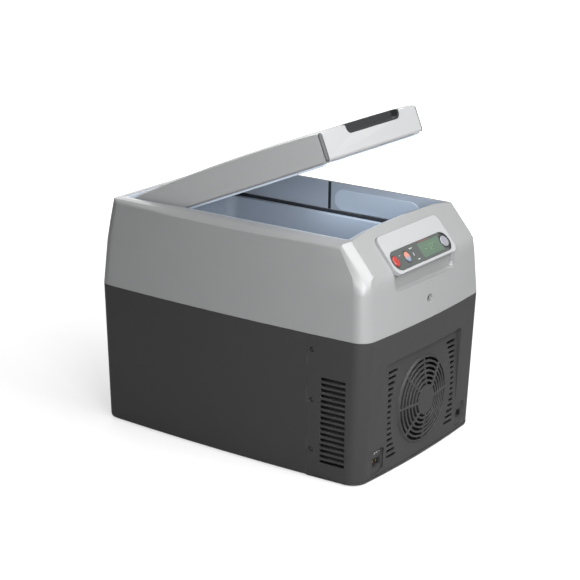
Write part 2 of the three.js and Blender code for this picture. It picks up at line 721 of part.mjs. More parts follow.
addPiece('outer_fan_frame', fanFrame(184, 209, 60, 57.5, 20, FAN_Z), 'black');
addPiece('outer_fan_rotor', fanRotor(187.4, 207.5, 55, 19, 7, FAN_Z), 'black');
addPiece('inner_fan_frame', fanFrame(63.5, 78.5, 40, 37.8, 14, PELTIER_Z), 'black');
addPiece('inner_fan_rotor', fanRotor(66.8, 77.5, 36, 13.5, 7, PELTIER_Z), 'black');

// Cover over the inner fan, open towards the end wall of the cabin.
const INNER_COVER = { x0: 59, x1: 99.2, half: 56, z0: PELTIER_Z - 54, z1: PELTIER_Z + 54 };
function innerFanCover() {
  const { x0, x1, half, z0, z1 } = INNER_COVER;
  const body = prism(roundedRect(-half, half, z0, z1, 8), 'x', x0, x1, 3);
  const hollow = prism(roundedRect(2 - half, half - 2, z0 + 2, z1 - 2, 6), 'x', x0 + 2, x1 + 5, 3);
  const slots = [];
  for (let i = 0; i < 7; i += 1) {
    const z = PELTIER_Z - 30 + i * 10;
    slots.push(box(x0 - 5, x0 + 5, -32, 32, z - 2.5, z + 2.5));
  }
  slots.push(box(82, 92, -80, 80, PELTIER_Z - 38, PELTIER_Z - 4));
  slots.push(box(82, 92, -80, 80, PELTIER_Z + 4, PELTIER_Z + 38));
  return cut(body, [hollow, ...slots]);
}
addPiece('inner_fan_cover', innerFanCover(), 'white');

// ---------------------------------------------------------------- power supply
const powerBoard = joined([
  box(146, 204, -62, 62, 163, 164.8),
  box(152, 184, -50, -16, 164, 189),
  box(150, 196, 24, 30, 164, 185),
  rod(8, 'z', 164, 187, [166, 4, 0], 12),
  rod(8, 'z', 164, 187, [188, 4, 0], 12),
  box(188, 202, 40, 58, 164, 177),
]);
addPiece('power_board', powerBoard, 'board');

// ---------------------------------------------------------------- lid
const LID_SIDE = [
  [-183, LID_BOTTOM], [-187, 286], [-189.6, 301], [-189.5, 306.5], [-189.2, 310.4],
  [-187.2, 313.5], [-184.6, 315.1], [-181.5, 315.9], [-165, 317.4], [-120, 319.8],
  [-60, 321.8], [0, 322.6], [60, 322.5], [105, 321.5], [136, 320.4], [149.4, 319.5],
  [152.4, 318.5], [LID_FRONT, 316.8], [LID_FRONT, 283.5], [151.8, LID_BOTTOM],
];
const LID_SIDE_HOLLOW = [
  [-180.4, LID_BOTTOM - 4], [-184.6, 286.5], [-187, 301], [-186.8, 308], [-184.8, 311.4],
  [-181.5, 313.2], [-165, 314.8], [-120, 317.2], [-60, 319.2], [0, 320], [60, 319.7],
  [105, 318.7], [136, 317.6], [148, 316.6], [150.9, 314.6], [150.9, 284],
  [149, LID_BOTTOM - 4],
];
const LID_STATIONS = [
  { y: 0, drop: 0, back: 0 },
  { y: 86, drop: 0, back: 0 },
  { y: 101, drop: 0.7, back: 0 },
  { y: 110, drop: 1.5, back: 0 },
  { y: 113, drop: 2.3, back: 0.8 },
  { y: LID_HALF_WIDTH, drop: 3.6, back: 2.4 },
];

// Extrudes a side outline across the lid, easing its top edge and front corners.
function lidBody(side, shrink) {
  const mirrored = LID_STATIONS.slice(1).reverse().map((at) => ({ ...at, y: -at.y }));
  const stations = [...mirrored, ...LID_STATIONS];
  const steps = stations.length - 1;
  const options = { depth: steps, steps, bevelEnabled: false };
  const geometry = new THREE.ExtrudeGeometry(polygon(side), options);
  geometry.translate(0, 0, -steps);
  geometry.applyMatrix4(PLANES.y);
  const position = geometry.attributes.position;
  for (let i = 0; i < position.count; i += 1) {
    const { y, drop, back } = stations[Math.round(position.getY(i))];
    const x = position.getX(i);
    const z = position.getZ(i);
    const upper = THREE.MathUtils.clamp((z - 295) / 17, 0, 1);
    const front = THREE.MathUtils.clamp((x - 130) / 20, 0, 1);
    const rear = THREE.MathUtils.clamp((-165 - x) / 15, 0, 1);
    const eased = x - back * front + 0.55 * back * rear;
    position.setXYZ(i, eased, y * (1 - shrink / LID_HALF_WIDTH), z - drop * upper);
  }
  return solidOf(geometry);
}

const lidTurn = new THREE.Matrix4()
  .makeTranslation(HINGE_X, 0, HINGE_Z)
  .multiply(new THREE.Matrix4().makeRotationY(-THREE.MathUtils.degToRad(LID_OPEN_DEG)))
  .multiply(new THREE.Matrix4().makeTranslation(-HINGE_X, 0, -HINGE_Z));

function notch(margin) {
  return prism(
    roundedRect(
      NOTCH.y0 - margin,
      NOTCH.y1 + margin,
      NOTCH.floor - margin,
      345,
      NOTCH.radius + margin,
    ),
    'x',
    LID_FRONT - NOTCH.depth - margin,
    LID_FRONT + 20,
    4,
  );
}

const hingeBosses = [
  rod(6.4, 'y', 105.5, 115, [HINGE_X, 0, HINGE_Z], 16),
  rod(6.4, 'y', -115, -105.5, [HINGE_X, 0, HINGE_Z], 16),
];
const hingeBores = [
  rod(PIN_RADIUS + 0.08, 'y', 108, 118, [HINGE_X, 0, HINGE_Z], 16),
  rod(PIN_RADIUS + 0.08, 'y', -118, -108, [HINGE_X, 0, HINGE_Z], 16),
];
function frontCorners(size) {
  const x = LID_FRONT - size;
  const y = LID_HALF_WIDTH - size;
  return [box(x, 200, y, 130, 255, 345), box(x, 200, -130, -y, 255, 345)];
}

const lidOuter = lidBody(LID_SIDE, 0);
const lidHollow = cut(lidBody(LID_SIDE_HOLLOW, 2.6), [
  notch(2.4),
  ...hingeBosses,
  ...frontCorners(CORNER_STRIP + 2.4),
]);
const lidShell = cut(lidOuter, [
  lidHollow,
  notch(0),
  ...hingeBores,
  ...frontCorners(CORNER_STRIP),
]);
addPiece('lid_shell', lidShell, 'pale', lidTurn);
for (const [index, corner] of frontCorners(CORNER_STRIP - GAP).entries()) {
  const side = index === 0 ? 'far' : 'near';
  addPiece(`corner_strip_${side}`, lidOuter.intersect(corner), 'rubber', lidTurn);
}

const gripInsert = notch(-GAP)
  .intersect(box(0, LID_FRONT - 0.4, -200, 200, 200, 345))
  .subtract(notch(-2.2))
  .intersect(lidOuter);
addPiece('grip_insert', gripInsert, 'grip', lidTurn);

const linerPlug = joined([
  prism(roundedRect(-183.4, 149.4, -111.4, 111.4, 9), 'z', 276.4, 279, 3),
  prism(roundedRect(-179, 144.2, -105.8, 105.8, 7), 'z', 278.5, LID_BOTTOM + 1, 3),
  box(-180, 147.9, -109.6, 109.6, LID_BOTTOM + 0.4, LID_BOTTOM + 2.4)
    .subtract(joined(frontCorners(CORNER_STRIP + 3))),
]);
addPiece('lid_liner', linerPlug, 'white', lidTurn);

const gasket = prism(
  roundedRect(-184.4, 150.4, -112.4, 112.4, 9), 'z', 279.3, LID_BOTTOM - 0.2, 3,
).subtract(prism(roundedRect(-179.3, 144.5, -106.1, 106.1, 7), 'z', 265, 295, 3));
addPiece('lid_gasket', gasket, 'rubber', lidTurn);

const lidFoam = cut(lidBody(LID_SIDE_HOLLOW, 3.2), [
  box(-300, 300, -200, 200, 200, LID_BOTTOM + 2.8),
  box(-300, 300, -200, 200, 308.5, 400),
  box(-300, -184, -200, 200, 200, 400),
  box(148, 300, -200, 200, 200, 400),
  notch(3),
  ...frontCorners(CORNER_STRIP + 3),
  rod(7, 'y', 105, 118, [HINGE_X, 0, HINGE_Z], 12),
  rod(7, 'y', -118, -105, [HINGE_X, 0, HINGE_Z], 12),
]);
addPiece('lid_foam', lidFoam, 'foam', lidTurn);

for (const [name, side] of [['hinge_pin_near', -1], ['hinge_pin_far', 1]]) {
  const pin = turned(
    [[0, 108.6], [PIN_RADIUS, 108.6], [PIN_RADIUS, 116], [4.4, 116], [4.4, 117.3], [PIN_RADIUS, 117.3],
      [PIN_RADIUS, 120], [0, 120]],
    'y',
    [0, 0, 0],
    16,
  );
  const turn = side > 0 ? 0 : Math.PI;
  const matrix = new THREE.Matrix4().makeRotationZ(turn).setPosition(HINGE_X, 0, HINGE_Z);
  addPiece(name, pin, 'steel', matrix);
}

export default cooler;
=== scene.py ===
"""Looks of a portable thermoelectric cool box with a part-open hinged lid.

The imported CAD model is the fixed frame. Each CAD node is either replaced by a
merged, smooth-shaded copy of itself or given a finish as it is. The display, key
rings, screens and marks are modelled here. Metres, Z up, panel end at +X.
"""

import logging
import math
from dataclasses import dataclass
from enum import Enum
from typing import ClassVar

import bmesh
import bpy
from mathutils import Matrix, Vector


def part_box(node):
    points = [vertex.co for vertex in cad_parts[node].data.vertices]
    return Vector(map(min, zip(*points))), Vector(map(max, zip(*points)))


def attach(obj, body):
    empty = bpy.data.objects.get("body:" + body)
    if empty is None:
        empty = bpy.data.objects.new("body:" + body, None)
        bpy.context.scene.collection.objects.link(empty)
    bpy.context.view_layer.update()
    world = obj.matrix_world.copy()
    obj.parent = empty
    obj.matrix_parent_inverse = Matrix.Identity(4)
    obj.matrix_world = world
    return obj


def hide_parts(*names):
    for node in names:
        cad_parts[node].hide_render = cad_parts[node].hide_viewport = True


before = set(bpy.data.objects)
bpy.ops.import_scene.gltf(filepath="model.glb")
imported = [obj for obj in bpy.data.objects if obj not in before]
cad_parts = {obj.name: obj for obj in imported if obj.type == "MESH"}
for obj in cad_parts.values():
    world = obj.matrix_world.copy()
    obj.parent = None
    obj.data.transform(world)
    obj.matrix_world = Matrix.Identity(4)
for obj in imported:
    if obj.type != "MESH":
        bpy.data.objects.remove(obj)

LOG = logging.getLogger("cool_box")
MM = 0.001
MERGE_DISTANCE = 2e-5
FLAT_ANGLE = math.radians(0.4)


class Body(Enum):
    """The CAD bodies that pieces ride on."""

    CASE = "case"
    LID = "lid"
    POWER = "power_key"
    MODE = "mode_key"
    SET = "set_key"
    OUTER_FAN = "outer_fan"
    INNER_FAN = "inner_fan"


class Effect(Enum):
    """Shader node groups shared by the finishes."""

    GRAIN = "moulded_grain"
    DRIFT = "tone_drift"
    WEAR = "eased_edges"
    DUST = "settled_dust"


# ------------------------------------------------------------------ shader groups
def add_node(tree: bpy.types.NodeTree, kind: str, **settings: object) -> bpy.types.Node:
    """Adds a node and sets its properties.

    Args:
        tree: The node tree that gets the node.
        kind: The node's type name.
        **settings: Properties to set on the node.

    Returns:
        The new node.
    """
    node = tree.nodes.new(kind)
    for key, value in settings.items():
        setattr(node, key, value)
    return node


def math_node(tree: bpy.types.NodeTree, operation: str, *values: object) -> bpy.types.NodeSocket:
    """Adds a Math node fed by sockets or numbers.

    Args:
        tree: The node tree that gets the node.
        operation: The Math node's operation.
        *values: A socket to link or a number to set, in order.

    Returns:
        The node's output socket.
    """
    node = add_node(tree, "ShaderNodeMath", operation=operation)
    for i, value in enumerate(values):
        if isinstance(value, bpy.types.NodeSocket):
            tree.links.new(value, node.inputs[i])
        else:
            node.inputs[i].default_value = value
    return node.outputs[0]


def smooth_range(
    tree: bpy.types.NodeTree,
    value: bpy.types.NodeSocket,
    low: float,
    high: float,
    to_low: float = 0.0,
    to_high: float = 1.0,
) -> bpy.types.NodeSocket:
    """Maps a value from low..high to to_low..to_high with soft ends.

    Args:
        tree: The node tree that gets the node.
        value: The socket to map.
        low: Value that gives to_low.
        high: Value that gives to_high.
        to_low: Result at low.
        to_high: Result at high.

    Returns:
        The mapped value's socket.
    """
    node = add_node(tree, "ShaderNodeMapRange", interpolation_type="SMOOTHSTEP")
    tree.links.new(value, node.inputs["Value"])
    for name, number in (
        ("From Min", low),
        ("From Max", high),
        ("To Min", to_low),
        ("To Max", to_high),
    ):
        node.inputs[name].default_value = number
    return node.outputs["Result"]


def mix_colour(
    tree: bpy.types.NodeTree, factor: object, first: object, second: object, blend: str = "MIX"
) -> bpy.types.NodeSocket:
    """Mixes two colours.

    Args:
        tree: The node tree that gets the node.
        factor: A socket or a number from 0 to 1.
        first: Colour socket or tuple at factor 0.
        second: Colour socket or tuple at factor 1.
        blend: The mix mode.

    Returns:
        The mixed colour's socket.
    """
    node = add_node(tree, "ShaderNodeMix", data_type="RGBA", blend_type=blend)
    for index, value in ((0, factor), (6, first), (7, second)):
        if isinstance(value, bpy.types.NodeSocket):
            tree.links.new(value, node.inputs[index])
        elif isinstance(value, (int, float)):
            node.inputs[index].default_value = value
        else:
            node.inputs[index].default_value = (*value, 1.0)
    return node.outputs[2]


@dataclass(frozen=True)
class GroupSocket:
    """One socket of a shared shader group."""

    name: str
    kind: str = "NodeSocketFloat"
    default: float = 0.0


def open_group(
    effect: Effect, inputs: list[GroupSocket], outputs: list[GroupSocket]
) -> tuple[bpy.types.NodeTree, bpy.types.Node, bpy.types.Node]:
    """Starts a shader node group with its sockets.

    Args:
        effect: Which shared effect the group holds.
        inputs: Its inputs.
        outputs: Its outputs.

    Returns:
        The group's tree, its input node and its output node.
    """
    tree = bpy.data.node_groups.new(effect.value, "ShaderNodeTree")
    for direction, sockets in (("INPUT", inputs), ("OUTPUT", outputs)):
        for socket in sockets:
            made = tree.interface.new_socket(
                socket.name, in_out=direction, socket_type=socket.kind
            )
            if direction == "INPUT" and socket.kind == "NodeSocketFloat":
                made.default_value = socket.default
    return tree, add_node(tree, "NodeGroupInput"), add_node(tree, "NodeGroupOutput")


def noise(
    tree: bpy.types.NodeTree, scale: object, detail: float, roughness: float = 0.5
) -> bpy.types.NodeSocket:
    """Adds a noise texture on object coordinates.

    Args:
        tree: The node tree that gets the nodes.
        scale: A socket or a number, per metre.
        detail: Octaves of detail.
        roughness: How strong the finer octaves are.

    Returns:
        The noise value's socket.
    """
    place = add_node(tree, "ShaderNodeTexCoord")
    texture = add_node(tree, "ShaderNodeTexNoise")
    tree.links.new(place.outputs["Object"], texture.inputs["Vector"])
    if isinstance(scale, bpy.types.NodeSocket):
        tree.links.new(scale, texture.inputs["Scale"])
    else:
        texture.inputs["Scale"].default_value = scale
    texture.inputs["Detail"].default_value = detail
    texture.inputs["Roughness"].default_value = roughness
    return texture.outputs["Fac"]


def build_grain() -> bpy.types.NodeTree:
    """Builds the eroded-mould grain group: height and a roughness shift."""
    tree, inward, outward = open_group(
        Effect.GRAIN,
        [GroupSocket("Scale", default=900.0), GroupSocket("Shift", default=0.08)],
        [GroupSocket("Height"), GroupSocket("Roughness Shift")],
    )
    place = add_node(tree, "ShaderNodeTexCoord")
    cells = add_node(tree, "ShaderNodeTexVoronoi", feature="SMOOTH_F1")
    tree.links.new(place.outputs["Object"], cells.inputs["Vector"])
    tree.links.new(inward.outputs["Scale"], cells.inputs["Scale"])
    fine = noise(tree, math_node(tree, "MULTIPLY", inward.outputs["Scale"], 2.3), 3.0)
    height = math_node(tree, "ADD", cells.outputs["Distance"], fine)
    tree.links.new(height, outward.inputs["Height"])
    broad = math_node(tree, "SUBTRACT", noise(tree, 22.0, 3.0), 0.5)
    shift = math_node(tree, "MULTIPLY", broad, inward.outputs["Shift"])
    tree.links.new(shift, outward.inputs["Roughness Shift"])
    return tree


def build_drift() -> bpy.types.NodeTree:
    """Builds the group that varies a colour's tone slowly and in fine specks."""
    tree, inward, outward = open_group(
        Effect.DRIFT,
        [GroupSocket("Color", "NodeSocketColor"), GroupSocket("Amount", default=0.06)],
        [GroupSocket("Color", "NodeSocketColor")],
    )
    slow = math_node(tree, "SUBTRACT", noise(tree, 7.0, 4.0, 0.6), 0.5)
    speck = math_node(tree, "SUBTRACT", noise(tree, 1600.0, 1.0), 0.5)
    both = math_node(tree, "ADD", slow, math_node(tree, "MULTIPLY", speck, 0.6))
    gain = math_node(
        tree, "ADD", math_node(tree, "MULTIPLY", both, inward.outputs["Amount"]), 1.0
    )
    tone = add_node(tree, "ShaderNodeVectorMath", operation="SCALE")
    tree.links.new(inward.outputs["Color"], tone.inputs[0])
    tree.links.new(gain, tone.inputs["Scale"])
    tree.links.new(tone.outputs[0], outward.inputs["Color"])
    return tree


def build_wear() -> bpy.types.NodeTree:
    """Builds the group that eases edges and lightens them where hands and mats rub."""
    tree, inward, outward = open_group(
        Effect.WEAR,
        [
            GroupSocket("Color", "NodeSocketColor"),
            GroupSocket("Amount", default=0.2),
            GroupSocket("Radius", default=0.0008),
        ],
        [GroupSocket("Color", "NodeSocketColor"), GroupSocket("Normal", "NodeSocketVector")],
    )
    eased = add_node(tree, "ShaderNodeBevel", samples=5)
    tree.links.new(inward.outputs["Radius"], eased.inputs["Radius"])
    plain = add_node(tree, "ShaderNodeNewGeometry")
    facing = add_node(tree, "ShaderNodeVectorMath", operation="DOT_PRODUCT")
    tree.links.new(eased.outputs["Normal"], facing.inputs[0])
    tree.links.new(plain.outputs["Normal"], facing.inputs[1])
    edge = smooth_range(tree, facing.outputs["Value"], 1.0, 0.86)
    rubbed = smooth_range(tree, noise(tree, 55.0, 4.0, 0.65), 0.42, 0.62)
    mask = math_node(tree, "MULTIPLY", math_node(tree, "MULTIPLY", edge, rubbed),
                     inward.outputs["Amount"])
    lighter = mix_colour(tree, 0.35, inward.outputs["Color"], (0.9, 0.9, 0.9))
    tree.links.new(
        mix_colour(tree, mask, inward.outputs["Color"], lighter), outward.inputs["Color"]
    )
    tree.links.new(eased.outputs["Normal"], outward.inputs["Normal"])
    return tree


def build_dust() -> bpy.types.NodeTree:
    """Builds the group that lays a faint dust on faces that look up."""
    tree, inward, outward = open_group(
        Effect.DUST,
        [GroupSocket("Color", "NodeSocketColor"), GroupSocket("Amount", default=0.05)],
        [GroupSocket("Color", "NodeSocketColor"), GroupSocket("Mask")],
    )
    geometry = add_node(tree, "ShaderNodeNewGeometry")
    split = add_node(tree, "ShaderNodeSeparateXYZ")
    tree.links.new(geometry.outputs["Normal"], split.inputs[0])
    upward = smooth_range(tree, split.outputs["Z"], 0.35, 1.0)
    patches = smooth_range(tree, noise(tree, 30.0, 5.0, 0.7), 0.35, 0.75)
    mask = math_node(tree, "MULTIPLY", math_node(tree, "MULTIPLY", upward, patches),
                     inward.outputs["Amount"])
    tree.links.new(
        mix_colour(tree, mask, inward.outputs["Color"], (0.55, 0.53, 0.5)),
        outward.inputs["Color"],
    )
    tree.links.new(mask, outward.inputs["Mask"])
    return tree


def build_groups() -> dict[Effect, bpy.types.NodeTree]:
    """Builds every shared shader group once."""
    return {
        Effect.GRAIN: build_grain(),
        Effect.DRIFT: build_drift(),
        Effect.WEAR: build_wear(),
        Effect.DUST: build_dust(),
    }


GROUPS = build_groups()


# ------------------------------------------------------------------ finishes
@dataclass(frozen=True)
class Finish:
    """A procedural finish, in linear colour."""

    name: str
    slot: str
    colour: tuple[float, float, float]
    roughness: float
    metallic: float = 0.0
    coat: float = 0.0
    specular: float = 0.5
    grain_scale: float = 900.0
    grain_depth: float = 0.00002
    roughness_shift: float = 0.08
    drift: float = 0.06
    wear: float = 0.2
    edge_radius: float = 0.0007
    dust: float = 0.05
    glow: tuple[float, float, float] | None = None
    glow_strength: float = 0.0

    def paint(self, tree: bpy.types.NodeTree) -> bpy.types.NodeSocket | None:
        """Gives a colour pattern for the finish, or None for its plain colour."""
        return None

    def material(self) -> bpy.types.Material:
        """Returns the finish's material, built on first use."""
        known = bpy.data.materials.get(self.name)
        if known is not None:
            return known
        made = bpy.data.materials.new(self.name)
        made.use_nodes = True
        made.diffuse_color = (*self.colour, 1.0)
        tree = made.node_tree
        tree.nodes.clear()
        shader = add_node(tree, "ShaderNodeBsdfPrincipled")
        output = add_node(tree, "ShaderNodeOutputMaterial")
        tree.links.new(shader.outputs["BSDF"], output.inputs["Surface"])
        shader.inputs["Metallic"].default_value = self.metallic
        shader.inputs["Coat Weight"].default_value = self.coat
        shader.inputs["Coat Roughness"].default_value = 0.08
        shader.inputs["Specular IOR Level"].default_value = self.specular

        drift = self.place(tree, Effect.DRIFT, Amount=self.drift)
        pattern = self.paint(tree)
        if pattern is None:
            drift.inputs["Color"].default_value = (*self.colour, 1.0)
        else:
            tree.links.new(pattern, drift.inputs["Color"])
        wear = self.place(tree, Effect.WEAR, Amount=self.wear, Radius=self.edge_radius)
        tree.links.new(drift.outputs["Color"], wear.inputs["Color"])
        dust = self.place(tree, Effect.DUST, Amount=self.dust)
        tree.links.new(wear.outputs["Color"], dust.inputs["Color"])
        tree.links.new(dust.outputs["Color"], shader.inputs["Base Color"])

        grain = self.place(tree, Effect.GRAIN, Scale=self.grain_scale, Shift=self.roughness_shift)
        rough = math_node(tree, "ADD", grain.outputs["Roughness Shift"], self.roughness)
        dusty = math_node(tree, "MULTIPLY_ADD", dust.outputs["Mask"], 0.5, rough)
        tree.links.new(dusty, shader.inputs["Roughness"])
        bump = add_node(tree, "ShaderNodeBump")
        bump.inputs["Strength"].default_value = 0.6
        bump.inputs["Distance"].default_value = self.grain_depth
        tree.links.new(grain.outputs["Height"], bump.inputs["Height"])
        tree.links.new(wear.outputs["Normal"], bump.inputs["Normal"])
        tree.links.new(bump.outputs["Normal"], shader.inputs["Normal"])
        if self.glow is not None:
            shader.inputs["Emission Color"].default_value = (*self.glow, 1.0)
            shader.inputs["Emission Strength"].default_value = self.glow_strength
        return made

    def place(self, tree: bpy.types.NodeTree, effect: Effect, **values: float) -> bpy.types.Node:
        """Places a shared group in the material.

        Args:
            tree: The material's node tree.
            effect: Which shared group.
            **values: Numbers for its named inputs.

        Returns:
            The group node.
        """
        node = add_node(tree, "ShaderNodeGroup", node_tree=GROUPS[effect])
        for name, value in values.items():
            node.inputs[name].default_value = value
        return node


@dataclass(frozen=True)
class SplitFinish(Finish):
    """A finish that goes softly from one colour to another up a sloped key."""

    upper: tuple[float, float, float] = (0.7, 0.2, 0.12)
    split_z: float = 0.285
    softness: float = 0.003

    def paint(self, tree: bpy.types.NodeTree) -> bpy.types.NodeSocket:
        """Gives the two-tone colour along the height.

        Args:
            tree: The material's node tree.

        Returns:
            The colour's socket.
        """
        place = add_node(tree, "ShaderNodeTexCoord")
        split = add_node(tree, "ShaderNodeSeparateXYZ")
        tree.links.new(place.outputs["Object"], split.inputs[0])
        upward = smooth_range(
            tree, split.outputs["Z"], self.split_z - self.softness, self.split_z + self.softness
        )
        return mix_colour(tree, upward, self.colour, self.upper)


@dataclass(frozen=True)
class GroovedFinish(Finish):
    """A finish with painted shade, near-black, in one upright groove of the far wall."""

    # Near-black painted shade for the groove.
    dark: tuple[float, float, float] = (0.02, 0.025, 0.03)
    groove_x: tuple[float, float] = (-17.6 * MM, -12.9 * MM)
    wall_y: float = 116.9 * MM
    foot_z: float = 278.9 * MM

    def paint(self, tree: bpy.types.NodeTree) -> bpy.types.NodeSocket:
        """Gives the plain colour with painted shade in the groove.

        Args:
            tree: The material's node tree.

        Returns:
            The colour's socket.
        """
        place = add_node(tree, "ShaderNodeTexCoord")
        split = add_node(tree, "ShaderNodeSeparateXYZ")
        tree.links.new(place.outputs["Object"], split.inputs[0])
        left = math_node(tree, "GREATER_THAN", split.outputs["X"], self.groove_x[0])
        right = math_node(tree, "LESS_THAN", split.outputs["X"], self.groove_x[1])
        wall = math_node(tree, "GREATER_THAN", split.outputs["Y"], self.wall_y)
        above = math_node(tree, "GREATER_THAN", split.outputs["Z"], self.foot_z)
        across = math_node(tree, "MULTIPLY", left, right)
        mask = math_node(tree, "MULTIPLY", math_node(tree, "MULTIPLY", across, wall), above)
        # Paints the groove's shade into the colour.
        return mix_colour(tree, mask, self.colour, self.dark)


GRAPHITE = Finish("graphite_shell", "graphite", (0.033, 0.032, 0.0325), 0.56,
                  grain_scale=1100.0, grain_depth=0.00006, drift=0.12, wear=0.35, dust=0.03)
SILVER = Finish("silver_shell", "silver", (0.335, 0.34, 0.342), 0.42, metallic=0.2,
                grain_scale=1500.0, grain_depth=0.00002, drift=0.05, wear=0.3)
PALE = Finish("pale_lid", "pale", (0.46, 0.465, 0.47), 0.38, metallic=0.15,
              grain_scale=1500.0, grain_depth=0.00002, drift=0.05, wear=0.3)
POD = Finish("pale_pod", "pale", (0.38, 0.387, 0.395), 0.34, grain_scale=1500.0,
             grain_depth=0.000012, drift=0.04, edge_radius=0.0012)
# The liner's white, with painted shade in the far wall's groove.
LINER = GroovedFinish("white_liner_and_groove_shade", "white", (0.44, 0.49, 0.56), 0.3, coat=0.1,
                      grain_scale=700.0, grain_depth=0.000015, drift=0.04, wear=0.1,
                      edge_radius=0.0015)
PLUG = Finish("plug_white", "white", (0.66, 0.74, 0.86), 0.34, grain_scale=700.0,
              grain_depth=0.000015, drift=0.04, wear=0.1, edge_radius=0.0012)
RUBBER = Finish("seal_rubber", "rubber", (0.016, 0.018, 0.022), 0.62, grain_scale=1400.0,
                grain_depth=0.00004, drift=0.15, wear=0.3)
GREY_SEAL = Finish("grey_seal", "rubber", (0.3, 0.31, 0.33), 0.5, grain_scale=1400.0,
                   grain_depth=0.00003, drift=0.1, wear=0.2)
GRIP = Finish("grip_rubber", "grip", (0.024, 0.025, 0.027), 0.5, grain_scale=1300.0,
              grain_depth=0.00005, drift=0.12, wear=0.25)
# Dark colour that paints the shade on the lid's rounded upright corners.
CORNER_SHADE = Finish("lid_corner_painted_shade", "rubber", (0.07, 0.074, 0.078), 0.5, grain_scale=1300.0,
               grain_depth=0.00003, drift=0.1, wear=0.25)
SMOKE = Finish("smoked_window", "smoke", (0.088, 0.097, 0.093), 0.14, coat=0.5,
               grain_depth=0.000002, drift=0.05, wear=0.1, edge_radius=0.0006)
DISPLAY = Finish("lcd_field", "digits", (0.1, 0.142, 0.11), 0.25, coat=0.5,
                 grain_depth=0.000002, glow=(0.1, 0.3, 0.1), glow_strength=0.05)
SEGMENT = Finish("lcd_segments", "digits", (0.13, 0.23, 0.11), 0.4, grain_depth=0.000002,
                 glow=(0.25, 0.8, 0.2), glow_strength=0.05)
RED_KEY = Finish("red_key", "power", (0.36, 0.045, 0.04), 0.16, coat=0.6,
                 grain_depth=0.000004, glow=(0.9, 0.06, 0.04), glow_strength=0.05)
MODE_KEY = SplitFinish("mode_key", "mode", (0.2, 0.27, 0.35), 0.18, coat=0.6,
                       grain_depth=0.000004, upper=(0.58, 0.24, 0.18), split_z=0.2862)
SET_KEY = Finish("grey_key", "set", (0.27, 0.27, 0.3), 0.22, coat=0.5, grain_depth=0.000004)
MARK = Finish("printed_mark", "white", (0.62, 0.64, 0.66), 0.4, grain_depth=0.000003, dust=0.0)
RED_MARK = Finish("red_mark", "power", (0.42, 0.09, 0.09), 0.4, grain_depth=0.000003, dust=0.0)
BLACK = Finish("inner_black", "black", (0.012, 0.012, 0.013), 0.5, grain_scale=1200.0,
               grain_depth=0.00003, drift=0.15, wear=0.25)
# Dark rings round the keys, also used for the painted shade at the window's end.
DARK_RING = Finish("key_ring_and_window_end_shade", "black", (0.015, 0.016, 0.018), 0.28, coat=0.3,
                   grain_depth=0.000004, drift=0.1)
SCREW = Finish("dark_screw", "steel", (0.03, 0.03, 0.032), 0.4, metallic=0.5,
               grain_depth=0.00001, drift=0.1)
STEEL = Finish("plated_steel", "steel", (0.2, 0.2, 0.215), 0.34, metallic=0.9,
               grain_scale=1800.0, grain_depth=0.00001, drift=0.12)
ALUMINIUM = Finish("extruded_aluminium", "aluminium", (0.6, 0.61, 0.63), 0.36, metallic=1.0,
                   grain_scale=1500.0, grain_depth=0.00002, drift=0.1)
BRASS = Finish("contact_brass", "brass", (0.55, 0.42, 0.16), 0.3, metallic=1.0,
               grain_depth=0.000004, drift=0.12)
BOARD = Finish("circuit_board", "board", (0.02, 0.11, 0.045), 0.4, grain_scale=400.0,
               grain_depth=0.00004, drift=0.3)
CERAMIC = Finish("module_ceramic", "ceramic", (0.78, 0.78, 0.74), 0.5, drift=0.05)
FOAM = Finish("rigid_foam", "foam", (0.75, 0.68, 0.44), 0.9, grain_scale=500.0,
              grain_depth=0.0003, drift=0.15)
LENS = Finish("lamp_diffuser", "lens", (0.5, 0.57, 0.65), 0.2, coat=0.3,
              grain_depth=0.000004, drift=0.06, glow=(0.6, 0.78, 1.0), glow_strength=0.07)


# ------------------------------------------------------------------ making pieces
def finish_piece(
    name: str,
    work: bmesh.types.BMesh,
    body: Body,
    finish: Finish,
    *replaced: str,
    crease_deg: float = 32.0,
    recalculate: bool = True,
) -> bpy.types.Object:
    """Turns a bmesh into a named piece that rides on a CAD body.

    Args:
        name: The piece's name.
        work: The shape, in place, in metres. It is freed.
        body: The CAD body that carries the piece.
        finish: The piece's finish.
        *replaced: CAD nodes that this piece stands for.
        crease_deg: Edges sharper than this stay sharp.
        recalculate: Whether to turn the faces outwards.

    Returns:
        The finished object.
    """
    if recalculate:
        bmesh.ops.recalc_face_normals(work, faces=work.faces)
    mesh = bpy.data.meshes.new(name)
    work.to_mesh(mesh)
    work.free()
    mesh.shade_smooth()
    mesh.set_sharp_from_angle(angle=math.radians(crease_deg))
    mesh.materials.append(finish.material())
    piece = bpy.data.objects.new(name, mesh)
    bpy.context.scene.collection.objects.link(piece)
    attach(piece, body.value)
    if replaced:
        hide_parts(*replaced)
    LOG.info("%s rides on %s with %d faces", name, body.value, len(mesh.polygons))
    return piece


def weighted(piece: bpy.types.Object) -> bpy.types.Object:
    """Lets large flat faces hold their shading beside rounded edges.

    Args:
        piece: The piece to shade.

    Returns:
        The same piece.
    """
    modifier = piece.modifiers.new("flat_faces_first", "WEIGHTED_NORMAL")
    modifier.keep_sharp = True
    modifier.weight = 60
    return piece


